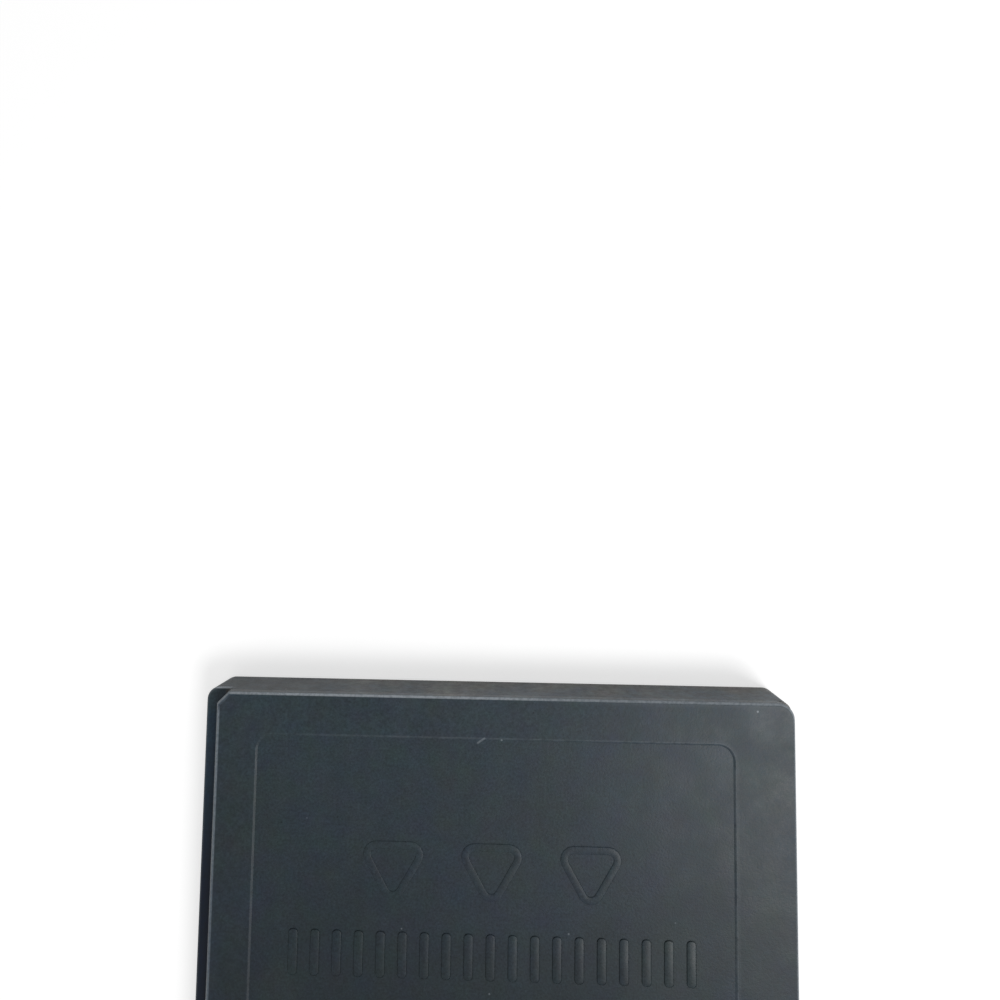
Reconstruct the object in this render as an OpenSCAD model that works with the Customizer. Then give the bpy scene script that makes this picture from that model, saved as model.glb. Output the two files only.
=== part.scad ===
// Flat game card for a handheld console: two plastic shells closed over a small circuit board.
// It lies label side down with its back up. The gold contacts are at the -Y end of the back, and
// the grip end is at +Y. The origin is the middle of the face it rests on. Sizes are millimetres.

/* [Card] */
// Width across the card
card_w = 33; // [31:0.5:36]
// Length from the contact end to the grip end
card_l = 35; // [33:0.5:39]
// Thickness over both shells
card_t = 3.8; // [3.6:0.05:4.4]
// Radius of the front shell's upright corners
corner_r = 0.7; // [0.4:0.1:1.2]
// Bevel round the back face
back_bevel = 0.12; // [0.05:0.01:0.2]
// Bevel round the label face
front_bevel = 0.25; // [0.05:0.05:0.4]
// Lead-in bevel on the contact end
lead_in = 0.3; // [0.1:0.05:0.4]

/* [Rear shell] */
// Thickness of the rear shell at its edge, and so the depth of the seam below the back
rear_t = 0.6; // [0.45:0.05:0.75]
// Radius of the rear shell's two corners on the right
rear_corner_r = 0.9; // [0.6:0.1:1.4]
// Width of the keying step down the left long side
key_w = 0.95; // [0.6:0.05:1.4]
// Depth of the keying step below the back
key_depth = 1; // [0.8:0.05:1.4]
// Cut across the rear shell's two corners beside the keying step
key_cut = 0.65; // [0.3:0.05:0.9]
// Depth of the shallow panel in the back
panel_depth = 0.06; // [0.04:0.01:0.15]
// Width of the panel's sloping edge
panel_slope = 0.06; // [0.05:0.01:0.2]
// Margin between the card's side and the panel
panel_side = 3.35; // [2.6:0.05:5]
// Margin between the grip end and the panel
panel_top = 2.3; // [1.5:0.05:4]
// Land between the panel and the contact windows
panel_foot = 1.4; // [0.6:0.1:3]
// Corner radius of the panel
panel_r = 0.85; // [0.4:0.05:2]

/* [Contacts] */
// Depth of the board's contact side below the back
contact_depth = 1; // [0.9:0.05:1.25]
// Number of contacts
contact_n = 17; // [10:1:17]
// Width of the ribs between the contact windows
comb_rib = 0.4; // [0.3:0.05:0.5]
// Margin between the board's pocket and the outermost windows
comb_side = 1.95; // [1.5:0.05:2.6]
// Length of the contact windows from the contact end
window_l = 9; // [7:0.25:10.5]
// Gap between a contact and the ribs beside it
contact_side = 0.06; // [0.03:0.01:0.15]
// Gap between a contact and the closed end of its window
contact_end = 0.25; // [0.1:0.05:0.5]
// Distance from the board's end to the contacts
contact_inset = 0.35; // [0.15:0.05:0.8]
// Thickness of a plated contact
contact_t = 0.08; // [0.04:0.01:0.12]

/* [Front shell] */
// Seat for the rear shell between the keying step and the board's pocket
land_w = 1.05; // [0.95:0.05:1.4]
// Wall across the contact end
end_wall = 1.2; // [0.8:0.1:2]
// Corner radius of the board's pocket
pocket_r = 0.6; // [0.3:0.1:1.2]
// Shelf under the board's edge
shelf_w = 0.9; // [0.5:0.1:1.4]
// Number of ribs that hold the board up behind the contacts
rib_n = 6; // [3:1:8]
// Thickness of one of these ribs
rib_t = 0.7; // [0.4:0.1:1]
// Length by which these ribs pass the contact windows
rib_over = 0.6; // [0.2:0.1:1.2]
// Depth of the label recess
label_depth = 0.2; // [0.1:0.05:0.3]
// Margin between the card's side and the label recess
label_side = 2; // [1.2:0.1:4]
// Margin between the grip end and the label recess
label_top = 2; // [1.2:0.1:4]
// Length of the label recess
label_l = 25; // [20:0.5:28]
// Corner radius of the label recess
label_r = 1.2; // [0.5:0.1:3]

/* [Closing joint] */
// Thickness of the rear shell's lip, which holds the board down inside the pocket
lip_t = 0.9; // [0.6:0.1:1.4]
// Clearance round the lip in the pocket, and over each peg
joint_gap = 0.06; // [0.03:0.01:0.1]
// Length by which the rear shell's thick contact block passes the windows
block_over = 1; // [0.6:0.1:2]
// Number of ribs under the rear shell that hold the board down
press_n = 3; // [1:1:5]
// Thickness of one of these ribs
press_t = 0.6; // [0.4:0.1:1]
// Diameter of the locating pegs
peg_d = 1.8; // [1.2:0.1:2.2]
// Diameter of the shoulder at the foot of a peg, and of the socket ring over it
shoulder_d = 3; // [2.6:0.1:3.2]
// Distance from the board's side to a peg's axis
peg_side = 2.2; // [1.8:0.1:2.6]
// Distance from the board's grip end to a peg's axis
peg_top = 3.4; // [2.4:0.1:5]

/* [Circuit board] */
// Thickness of the board
board_t = 0.8; // [0.6:0.05:0.9]
// Gap between the board and its pocket
board_gap = 0.15; // [0.08:0.01:0.25]
// Corner radius of the board
board_r = 0.5; // [0.2:0.1:1]
// Bevel on both edges of the board's contact end
board_bevel = 0.15; // [0.05:0.05:0.25]
// Clearance round a peg in the board
peg_gap = 0.1; // [0.05:0.01:0.15]

/* [Memory chips] */
// Length of the game memory's package
rom_l = 14; // [12.8:0.2:16]
// Width of the game memory's package
rom_w = 10; // [8:0.2:11]
// Thickness of the game memory's package
rom_t = 1; // [0.8:0.05:1.1]
// Leads on each side of the game memory
rom_leads_n = 16; // [8:1:17]
// Pitch of the game memory's leads
rom_pitch = 0.8; // [0.6:0.05:0.8]
// Distance from the board's grip end to the game memory's leads
rom_top = 1.8; // [1.2:0.1:3]
// Length of the save memory's package
save_l = 3; // [2.8:0.1:3.6]
// Width of the save memory's package
save_w = 4.4; // [3.6:0.1:5]
// Thickness of the save memory's package
save_t = 0.9; // [0.7:0.05:1]
// Leads on each side of the save memory
save_leads_n = 4; // [3:1:4]
// Pitch of the save memory's leads
save_pitch = 0.65; // [0.5:0.05:0.7]
// Distance from the middle of the board to the save memory
save_x = 6.5; // [5.5:0.1:7.5]
// Height of a package's underside above the board
standoff = 0.1; // [0.05:0.01:0.15]
// Slope of a package's sides
draft = 0.12; // [0.05:0.01:0.2]
// Diameter of the dimple that marks a package's first lead
dimple_d = 0.8; // [0.5:0.1:1]
// Depth of that dimple
dimple_depth = 0.06; // [0.03:0.01:0.1]
// Distance from a package's sides to the middle of the dimple
dimple_in = 1.2; // [0.9:0.1:1.3]
// Reach of a lead beyond its package
lead_reach = 0.8; // [0.6:0.05:1]
// Length of the straight part of a lead next to its package
lead_knee = 0.25; // [0.15:0.05:0.3]
// Length of a lead's foot on the board
lead_foot = 0.35; // [0.25:0.05:0.4]
// Thickness of a lead
lead_t = 0.15; // [0.1:0.01:0.2]
// Width of a lead
lead_w = 0.35; // [0.2:0.01:0.4]
// Gap between the tallest chip and the front shell
chip_gap = 0.2; // [0.1:0.05:0.3]

/* [Small components] */
// Length of a capacitor or resistor
chip_l = 1.6; // [1.2:0.1:2]
// Width of a capacitor or resistor
chip_w = 0.8; // [0.6:0.05:1]
// Height of a capacitor
cap_h = 0.8; // [0.5:0.05:0.9]
// Height of a resistor
res_h = 0.45; // [0.3:0.05:0.6]
// Length of an end cap on a capacitor or resistor
cap_end = 0.3; // [0.2:0.05:0.4]
// Height of an end cap above the body it wraps
cap_rise = 0.03; // [0.01:0.01:0.06]
// Distance from the board's middle back to the first column of small components
column_start = 1.3; // [0.8:0.1:1.8]
// Distance between the columns of small components
column_step = 2.6; // [2.3:0.1:2.8]
// Distance between the two rows of small components
row_step = 1.9; // [1.5:0.1:2.4]
// Gap between the game memory's leads and the first row
row_gap = 1.2; // [0.8:0.1:1.8]

/* [Hidden] */
CONTACT_NAMES = [for (i = [1 : contact_n]) str("contact_", i)];
CAP_NAMES = ["decoupling_cap_1", "decoupling_cap_2", "decoupling_cap_3", "supply_cap"];
RES_NAMES = ["pull_up_resistor_1", "pull_up_resistor_2", "clock_resistor", "series_resistor"];

$fn = 48;
over = 0.5;                                        // how far a cutter passes the face it opens

shell_grey = "#3c444a";
mask_green = "#1f5a3c";
gold = "#d8b25a";
epoxy_black = "#1d1e20";
lead_tin = "#c9ccd0";
ceramic_tan = "#b99a73";
resistor_black = "#26272b";

side_x = card_w / 2;
grip_y = card_l / 2;                               // the grip end, and minus this the contact end
seam_z = card_t - rear_t;                          // where the shells meet round the sides
ledge_z = card_t - key_depth;                      // the keying step's ledge
contact_z = card_t - contact_depth;                // the board's contact side
board_z = contact_z - board_t;                     // the board's label side
chip_space = standoff + rom_t + chip_gap;          // hollow under the board
floor_z = board_z - chip_space;                    // inner face of the label wall
wall = key_w + land_w;                             // side and grip end walls of the front shell

pocket_w = card_w - 2 * wall;
pocket_l = card_l - wall - end_wall;
pocket_y = (end_wall - wall) / 2;                  // middle of the board's pocket
board_w = pocket_w - 2 * board_gap;
board_l = pocket_l - 2 * board_gap;
board_top = pocket_y + board_l / 2;
board_end = pocket_y - board_l / 2;

// The windows share the pocket's width, which gives them the usual 1.5 mm pitch.
window_w = (pocket_w - 2 * comb_side - (contact_n - 1) * comb_rib) / contact_n;
contact_pitch = window_w + comb_rib;
window_top = window_l - grip_y;
block_top = window_top + block_over;
contact_w = window_w - 2 * contact_side;
contact_l = window_top - contact_end - board_end - contact_inset;

peg_x = board_w / 2 - peg_side;
peg_y = board_top - peg_top;

rom_y = board_top - rom_top - lead_reach - rom_w / 2;
row_y = rom_y - rom_w / 2 - lead_reach - row_gap - chip_w / 2;
save_y = row_y - row_step / 2;                     // level with the middle of the two rows

module rounded_rect(w, l, r) {
    square([w, l - 2 * r], center = true);
    square([w - 2 * r, l], center = true);
    for (sx = [-1, 1], sy = [-1, 1])
        translate([sx * (w / 2 - r), sy * (l / 2 - r)])
            circle(r = r);
}

// Outline of the rear shell: rounded corners on the right, cut corners beside the keying step.
// The slope of a bevel shortens the cut by less than its own width, which keeps it at 45 degrees.
module rear_outline(inset = 0) {
    left = key_w - side_x + inset;
    right = side_x - inset;
    half_l = grip_y - inset;
    cut = key_cut - (2 - sqrt(2)) * inset;
    r = rear_corner_r - inset;
    polygon([[left + cut, -half_l], [right - r, -half_l], [right - r, half_l],
             [left + cut, half_l], [left, half_l - cut], [left, cut - half_l]]);
    translate([right - r, r - half_l])
        square([r, 2 * (half_l - r)]);
    for (s = [-1, 1])
        translate([right - r, s * (half_l - r)])
            circle(r = r);
}

// What the keying step takes off the card's left side, in plan, with the two cut corners.
module key_outline() {
    left = key_w - side_x;
    far = grip_y + over;
    polygon([[-side_x - over, -far], [left + key_cut + over, -far], [left, key_cut - grip_y],
             [left, grip_y - key_cut], [left + key_cut + over, far], [-side_x - over, far]]);
}

module at_pegs() {
    for (s = [-1, 1])
        translate([s * peg_x, peg_y, 0])
            children();
}

module at_contacts() {
    for (i = [0 : contact_n - 1])
        translate([contact_x(i), 0, 0])
            children();
}

function contact_x(i) = (i - (contact_n - 1) / 2) * contact_pitch;

// Three-sided cutter for a straight bevel along X.
module end_bevel(size) {
    rotate([90, 0, 90])
        linear_extrude(height = card_w + 2 * over, center = true)
            polygon([[-over, -over], [size + over, -over], [-over, size + over]]);
}

module front_shell_body() {
    hull() {
        translate([0, 0, front_bevel])
            linear_extrude(height = seam_z - front_bevel)
                rounded_rect(card_w, card_l, corner_r);
        linear_extrude(height = seam_z)
            rounded_rect(card_w - 2 * front_bevel, card_l - 2 * front_bevel,
                         corner_r - front_bevel / 2);
    }
}

module front_shell() color(shell_grey) {
    difference() {
        front_shell_body();
        translate([0, pocket_y, board_z])
            linear_extrude(height = seam_z - board_z + over)
                rounded_rect(pocket_w, pocket_l, pocket_r);
        translate([0, pocket_y, floor_z])
            linear_extrude(height = chip_space + over)
                rounded_rect(pocket_w - 2 * shelf_w, pocket_l - 2 * shelf_w, pocket_r);
        translate([0, grip_y - label_top - label_l / 2, -over])
            linear_extrude(height = label_depth + over)
                rounded_rect(card_w - 2 * label_side, label_l, label_r);
        translate([0, 0, ledge_z])
            linear_extrude(height = rear_t + key_depth)
                key_outline();
        translate([-side_x - over, -grip_y - over, contact_z])
            cube([card_w + 2 * over, end_wall + over, contact_depth]);
        translate([0, -grip_y, 0])
            end_bevel(lead_in);
    }
    support_ribs();
    at_pegs() locating_peg();
}

// Ribs along the card that carry the board behind its contacts.
module support_ribs() {
    hollow_w = pocket_w - 2 * shelf_w;
    hollow_end = pocket_y - pocket_l / 2 + shelf_w;
    step = hollow_w / (rib_n + 1);
    for (i = [1 : rib_n])
        translate([i * step - hollow_w / 2 - rib_t / 2, hollow_end, floor_z])
            cube([rib_t, window_top + rib_over - hollow_end, chip_space]);
}

// Peg with a shoulder that the board stands on. It passes the board and enters its socket ring.
module locating_peg() {
    translate([0, 0, floor_z])
        cylinder(d = shoulder_d, h = chip_space);
    translate([0, 0, floor_z])
        cylinder(d = peg_d, h = seam_z - joint_gap - floor_z);
}

module rear_shell() color(shell_grey)
    difference() {
        union() {
            rear_shell_body();
            rear_end_strip();
            rear_plug();
        }
        panel_recess();
        at_contacts()
            translate([-window_w / 2, -grip_y - over, contact_z - over])
                cube([window_w, window_l + over, contact_depth + 2 * over]);
        at_pegs()
            translate([0, 0, contact_z - over])
                cylinder(d = peg_d + 2 * peg_gap, h = seam_z - contact_z + over);
        translate([0, -grip_y, card_t])
            mirror([0, 0, 1])
                end_bevel(lead_in);
    }

module rear_shell_body() {
    hull() {
        translate([0, 0, seam_z])
            linear_extrude(height = rear_t - back_bevel)
                rear_outline();
        translate([0, 0, seam_z])
            linear_extrude(height = rear_t)
                rear_outline(back_bevel);
    }
}

// Strip that closes the card over the front shell's low end wall. The hull gives its corners the
// same flats as the body above it.
module rear_end_strip() {
    intersection() {
        hull()
            translate([0, 0, contact_z])
                linear_extrude(height = contact_depth - back_bevel)
                    rear_outline();
        translate([-side_x, -grip_y - over, contact_z])
            cube([card_w, end_wall + over - joint_gap, seam_z - contact_z]);
    }
}

// What hangs under the rear shell inside the pocket: the block with the contact windows, a lip
// round the rest, ribs from the block to the lip, and a socket ring over each peg.
module rear_plug() {
    w = pocket_w - 2 * joint_gap;
    l = pocket_l - 2 * joint_gap;
    hollow_top = pocket_y + l / 2 - lip_t;
    hollow_l = hollow_top - block_top;
    bridge_end = end_wall / 2 - grip_y;
    step = (w - 2 * lip_t) / (press_n + 1);
    translate([0, 0, contact_z])
        linear_extrude(height = seam_z - contact_z) {
            difference() {
                translate([0, pocket_y])
                    rounded_rect(w, l, pocket_r);
                translate([0, hollow_top - hollow_l / 2])
                    rounded_rect(w - 2 * lip_t, hollow_l, pocket_r);
            }
            translate([pocket_r - w / 2, bridge_end])
                square([w - 2 * pocket_r, block_top - bridge_end]);
            for (i = [1 : press_n])
                translate([i * step - (w - press_t) / 2 + lip_t - press_t, block_top - over])
                    square([press_t, hollow_l + 2 * over]);
            at_pegs()
                circle(d = shoulder_d);
        }
}

// Shallow panel with a sloping edge that takes up most of the back.
module panel_recess() {
    w = card_w - 2 * panel_side;
    l = grip_y - panel_top - window_top - panel_foot;
    translate([0, grip_y - panel_top - l / 2, card_t - panel_depth])
        hull() {
            linear_extrude(height = panel_depth + over)
                rounded_rect(w, l, panel_r);
            translate([0, 0, panel_depth])
                linear_extrude(height = over)
                    rounded_rect(w + 2 * panel_slope, l + 2 * panel_slope, panel_r + panel_slope);
        }
}

module circuit_board() color(mask_green)
    difference() {
        translate([0, pocket_y, board_z])
            linear_extrude(height = board_t)
                rounded_rect(board_w, board_l, board_r);
        at_pegs()
            translate([0, 0, board_z - over])
                cylinder(d = peg_d + 2 * peg_gap, h = board_t + 2 * over);
        translate([0, board_end, board_z])
            end_bevel(board_bevel);
        translate([0, board_end, contact_z])
            mirror([0, 0, 1])
                end_bevel(board_bevel);
    }

module contact(i) color(gold)
    translate([contact_x(i) - contact_w / 2, board_end + contact_inset, contact_z])
        cube([contact_w, contact_l, contact_t]);

// Places a component on the board's label side, where its own up is away from the board.
module on_board(x, y, turn = 0) {
    translate([x, y, board_z])
        rotate([180, 0, turn])
            children();
}

// Moulded package, widest at the parting line where the leads come out.
module package(l, w, t) {
    difference() {
        hull() {
            translate([0, 0, standoff + (t - lead_t) / 2])
                linear_extrude(height = lead_t)
                    square([l, w], center = true);
            translate([0, 0, standoff])
                linear_extrude(height = t)
                    square([l - 2 * draft, w - 2 * draft], center = true);
        }
        translate([dimple_in - l / 2, dimple_in - w / 2, standoff + t - dimple_depth])
            cylinder(d = dimple_d, h = over);
    }
}

// Row of gull-wing leads on both long sides of a package of width w.
module lead_rows(w, t, n, pitch) {
    for (side = [-1, 1], i = [0 : n - 1])
        translate([(i - (n - 1) / 2) * pitch, side * w / 2, 0])
            rotate([90, 0, 90 * side])
                linear_extrude(height = lead_w, center = true)
                    gull_wing(standoff + t / 2);
}

// Side view of one lead: out of the package at height h, down to the board, and along it.
module gull_wing(h) {
    half_t = lead_t / 2;
    ankle = lead_reach - lead_foot;
    polygon([[0, h - half_t], [lead_knee - half_t, h - half_t], [ankle - half_t, 0],
             [lead_reach, 0], [lead_reach, lead_t], [ankle + half_t, lead_t],
             [lead_knee + half_t, h + half_t], [0, h + half_t]]);
}

module game_memory() color(epoxy_black)
    on_board(0, rom_y)
        package(rom_l, rom_w, rom_t);

module game_memory_leads() color(lead_tin)
    on_board(0, rom_y)
        lead_rows(rom_w, rom_t, rom_leads_n, rom_pitch);

module save_memory() color(epoxy_black)
    on_board(-save_x, save_y, 90)
        package(save_l, save_w, save_t);

module save_memory_leads() color(lead_tin)
    on_board(-save_x, save_y, 90)
        lead_rows(save_w, save_t, save_leads_n, save_pitch);

// Capacitor or resistor: a block with a metal cap wrapped over each end.
module small_chip(h, tint) {
    color(tint)
        translate([0, 0, h / 2])
            cube([chip_l, chip_w - 2 * cap_rise, h - 2 * cap_rise], center = true);
    color(lead_tin)
        for (s = [-1, 1])
            translate([s * (chip_l - cap_end) / 2, 0, h / 2])
                cube([cap_end, chip_w, h], center = true);
}

// Capacitors stand in the first row and resistors in the second, in columns to the right.
module capacitor(i)
    on_board(i * column_step - column_start, row_y)
        small_chip(cap_h, ceramic_tan);

module resistor(i)
    on_board(i * column_step - column_start, row_y - row_step)
        small_chip(res_h, resistor_black);

front_shell();
rear_shell();
circuit_board();
game_memory();
game_memory_leads();
save_memory();
save_memory_leads();
for (i = [0 : len(CAP_NAMES) - 1]) capacitor(i);
for (i = [0 : len(RES_NAMES) - 1]) resistor(i);
for (i = [0 : contact_n - 1]) contact(i);
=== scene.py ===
"""Dresses a flat handheld game card: rubbed plastic shells with painted light and shade, gold
contacts and the board inside.

The scene is in metres. Patterns on a surface are worked out in millimetres of the card's own
frame, where +Y is the grip end, +Z the back, and the origin the middle of the face it rests on.
"""

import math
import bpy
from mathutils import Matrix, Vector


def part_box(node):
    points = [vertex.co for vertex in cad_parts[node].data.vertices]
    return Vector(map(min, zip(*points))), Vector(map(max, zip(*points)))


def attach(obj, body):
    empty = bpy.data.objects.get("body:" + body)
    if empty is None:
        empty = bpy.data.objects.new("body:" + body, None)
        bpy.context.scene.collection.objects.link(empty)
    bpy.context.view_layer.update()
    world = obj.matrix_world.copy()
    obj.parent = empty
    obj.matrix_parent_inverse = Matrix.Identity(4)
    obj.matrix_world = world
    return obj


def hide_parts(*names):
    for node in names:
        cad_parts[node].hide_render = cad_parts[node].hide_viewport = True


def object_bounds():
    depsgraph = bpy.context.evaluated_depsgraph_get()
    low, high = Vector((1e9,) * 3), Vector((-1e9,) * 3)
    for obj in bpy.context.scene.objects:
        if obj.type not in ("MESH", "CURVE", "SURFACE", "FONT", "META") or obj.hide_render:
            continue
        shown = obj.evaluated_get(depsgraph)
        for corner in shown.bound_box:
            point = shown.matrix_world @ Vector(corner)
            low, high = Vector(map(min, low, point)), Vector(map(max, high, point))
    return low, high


bl_info = {
    "name": "Game Card Looks",
    "version": (1, 0, 0),
    "blender": (4, 5, 0),
    "location": "View3D > Sidebar > Game Card",
    "description": "Dresses the shells, contacts and board of a flat handheld game card",
    "category": "Object",
}

import bmesh
import bpy
from bpy.props import FloatProperty, FloatVectorProperty, IntProperty, PointerProperty
from mathutils import Euler, Matrix, Vector

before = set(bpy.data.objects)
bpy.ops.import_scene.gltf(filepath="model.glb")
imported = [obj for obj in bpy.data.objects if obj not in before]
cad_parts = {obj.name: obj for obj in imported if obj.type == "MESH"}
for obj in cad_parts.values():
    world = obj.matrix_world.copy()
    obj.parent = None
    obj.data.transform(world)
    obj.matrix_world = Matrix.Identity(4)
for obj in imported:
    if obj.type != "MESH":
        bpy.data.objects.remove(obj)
CAD_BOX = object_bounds()

MM = 0.001
BODY = "root"
CONTACTS = sorted(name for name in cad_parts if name.startswith("contact_"))
CAPACITORS = ["decoupling_cap_1", "decoupling_cap_2", "decoupling_cap_3", "supply_cap"]
RESISTORS = ["pull_up_resistor_1", "pull_up_resistor_2", "clock_resistor", "series_resistor"]

# Outline of the shells, in millimetres
HALF_W = CAD_BOX[1].x / MM
HALF_L = CAD_BOX[1].y / MM
BACK_Z = CAD_BOX[1].z / MM
REAR_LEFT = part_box("rear_shell")[0].x / MM
KEY_DEPTH = 1.0
LEDGE_Z = BACK_Z - KEY_DEPTH
REAR_T = 0.6
SEAM_Z = BACK_Z - REAR_T
REAR_R = 0.9
FRONT_R = 0.7
KEY_CUT = 0.65
BACK_BEVEL = 0.12
FOOT_BEVEL = 0.25

# Shallow panel in the back, in millimetres
PANEL_SIDE = 3.35
PANEL_HALF_W = HALF_W - PANEL_SIDE
PANEL_TOP = HALF_L - 2.3
PANEL_FOOT = -7.1
PANEL_R = 0.85
PANEL_SLOPE = 0.06
PANEL_DEPTH = 0.06
PANEL_Z = BACK_Z - PANEL_DEPTH

# Colours on the shells' plastic: bluish and greenish clouds, a bluish band at the back's left
# edge, the ledge's colour near the grip end darkened as painted shade, and a pale patch as painted
# light in the corner under the cut
BLUE_CLOUD = (0.018, 0.027, 0.046)
GREEN_CLOUD = (0.022, 0.034, 0.034)
LEFT_EDGE = (0.008, 0.040, 0.075)
SHADED_LEDGE_GRIP = (0.011, 0.028, 0.046)
NOOK_PAINTED_LIGHT = (0.20, 0.205, 0.20)

# Scratch on the back: its two ends and its width, in millimetres
SCRATCH = ((-0.92, 14.96), (-0.42, 15.33), 0.08)

# Rubbed spots on the back: place and radius in millimetres, and how pale each is
SPOTS = [
    ((0.46, 15.2), 0.07, 0.4),
    ((14.45, 17.05), 0.08, 0.6),
    ((-4.86, 5.06), 0.06, 0.25),
    ((15.04, 15.8), 0.5, 0.03),
    ((15.4, 17.1), 2.6, 0.05),
]

# Second colours of the contacts, the board and its components
GOLD_STAIN = (0.62, 0.40, 0.14)
GOLD_WIPED = (0.90, 0.74, 0.42)
DARK_LAYER = (0.25, 0.24, 0.13)
EPOXY_GRAIN = (0.045, 0.045, 0.047)
DULL_TIN = (0.50, 0.50, 0.49)
DULL_CAP = (0.55, 0.55, 0.54)

# Numbers of a Mix node's sockets for colours, whose names repeat
MIX_SHARE = 0
MIX_LOW = 6
MIX_HIGH = 7
MIX_RESULT = 2

# Angles that mesh work goes by, and its smallest distance in metres
WELD = 1e-7
FLAT_ANGLE = math.radians(0.5)
EDGE_ANGLE = math.radians(20)

# How near an edge lies to a height, and to the outline, to count as on it, in millimetres
LEVEL_WITH = 0.01
OUTER_BAND = 0.6
RIM_BAND = 0.1


class ShellLook(bpy.types.PropertyGroup):
    plastic: FloatVectorProperty(
        name="Plastic", description="Colour of the moulded plastic", subtype="COLOR",
        size=3, min=0, max=1, default=(0.012, 0.020, 0.026))
    # Paler than the plastic. On the back, its share towards the grip end is painted light,
    # standing in for the stronger light there; on the walls it is the plastic under the soil.
    grip_plastic: FloatVectorProperty(
        name="Plastic at the grip", description="Colour near the grip end, paler from handling",
        subtype="COLOR", size=3, min=0, max=1, default=(0.025, 0.040, 0.051))
    # Darkened far below the plastic as painted shade: the shadow that the rear shell's step casts
    # on the ledge
    shaded_ledge_plastic: FloatVectorProperty(
        name="Plastic of the ledge", description="Colour of the ledge, which no finger reaches",
        subtype="COLOR", size=3, min=0, max=1, default=(0.0005, 0.006, 0.018))
    soil: FloatVectorProperty(
        name="Soil", description="Colour of the greyish soil on the walls", subtype="COLOR",
        size=3, min=0, max=1, default=(0.056, 0.058, 0.053))
    # Pale colour of rubbed edges, also used to paint highlights on the edges and the panel's slope
    rubbed_and_highlight: FloatVectorProperty(
        name="Rubbed edge and highlight", description="Colour of plastic rubbed pale at an edge", subtype="COLOR",
        size=3, min=0, max=1, default=(0.33, 0.365, 0.40))
    edge_round: FloatProperty(
        name="Edge rounding", description="Radius of every moulded edge", unit="LENGTH",
        subtype="DISTANCE", min=0, default=0.04 * MM)
    seam_round: FloatProperty(
        name="Seam rounding", description="Radius of the edges that meet at the seam",
        unit="LENGTH", subtype="DISTANCE", min=0, default=0.012 * MM)
    hand_round: FloatProperty(
        name="Handled rounding", description="Radius of the front shell's outer edges",
        unit="LENGTH", subtype="DISTANCE", min=0, default=0.10 * MM)
    foot_round: FloatProperty(
        name="Foot rounding", description="Radius of the edges beside the label face's bevel",
        unit="LENGTH", subtype="DISTANCE", min=0, default=0.08 * MM)
    edge_steps: IntProperty(
        name="Edge steps", description="Faces across a rounded edge", min=1, max=6, default=3)


class MarkLook(bpy.types.PropertyGroup):
    relief: FloatProperty(
        name="Relief", description="Height of the moulded marks above the panel", unit="LENGTH",
        subtype="DISTANCE", min=0, default=0.04 * MM)
    arrow_count: IntProperty(
        name="Arrows", description="Number of insertion arrows", min=1, max=7, default=3)
    arrow_pitch: FloatProperty(
        name="Arrow pitch", description="Distance between arrows", unit="LENGTH",
        subtype="DISTANCE", min=0, default=5.4 * MM)
    arrow_size: FloatProperty(
        name="Arrow size", description="Distance from an arrow's middle to its points",
        unit="LENGTH", subtype="DISTANCE", min=0, default=2.1 * MM)
    arrow_line: FloatProperty(
        name="Arrow line", description="Width of an arrow's outline", unit="LENGTH",
        subtype="DISTANCE", min=0, default=0.42 * MM)
    arrow_corner: FloatProperty(
        name="Arrow corner", description="Radius of an arrow's corners", unit="LENGTH",
        subtype="DISTANCE", min=0, default=0.5 * MM)
    arrow_y: FloatProperty(
        name="Arrow place", description="Place of the arrows along the card", unit="LENGTH",
        subtype="DISTANCE", default=8.4 * MM)
    rib_count: IntProperty(
        name="Ribs", description="Number of grip ribs", min=1, max=40, default=19)
    rib_pitch: FloatProperty(
        name="Rib pitch", description="Distance between grip ribs", unit="LENGTH",
        subtype="DISTANCE", min=0, default=1.2 * MM)
    rib_width: FloatProperty(
        name="Rib width", description="Width of a grip rib", unit="LENGTH",
        subtype="DISTANCE", min=0, default=0.5 * MM)
    rib_length: FloatProperty(
        name="Rib length", description="Length of a grip rib", unit="LENGTH",
        subtype="DISTANCE", min=0, default=2.4 * MM)
    rib_corner: FloatProperty(
        name="Rib corner", description="Radius of a grip rib's corners", unit="LENGTH",
        subtype="DISTANCE", min=0, default=0.2 * MM)
    rib_y: FloatProperty(
        name="Rib place", description="Place of the grip ribs along the card", unit="LENGTH",
        subtype="DISTANCE", default=3.7 * MM)


class ContactLook(bpy.types.PropertyGroup):
    gold: FloatVectorProperty(
        name="Gold", description="Colour of the gold plating", subtype="COLOR",
        size=3, min=0, max=1, default=(0.83, 0.60, 0.24))
    corner: FloatProperty(
        name="Corner radius", description="Radius of a contact's corners", unit="LENGTH",
        subtype="DISTANCE", min=0, default=0.2 * MM)
    edge_round: FloatProperty(
        name="Edge rounding", description="Radius along a contact's upper edge", unit="LENGTH",
        subtype="DISTANCE", min=0, default=0.02 * MM)


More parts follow.
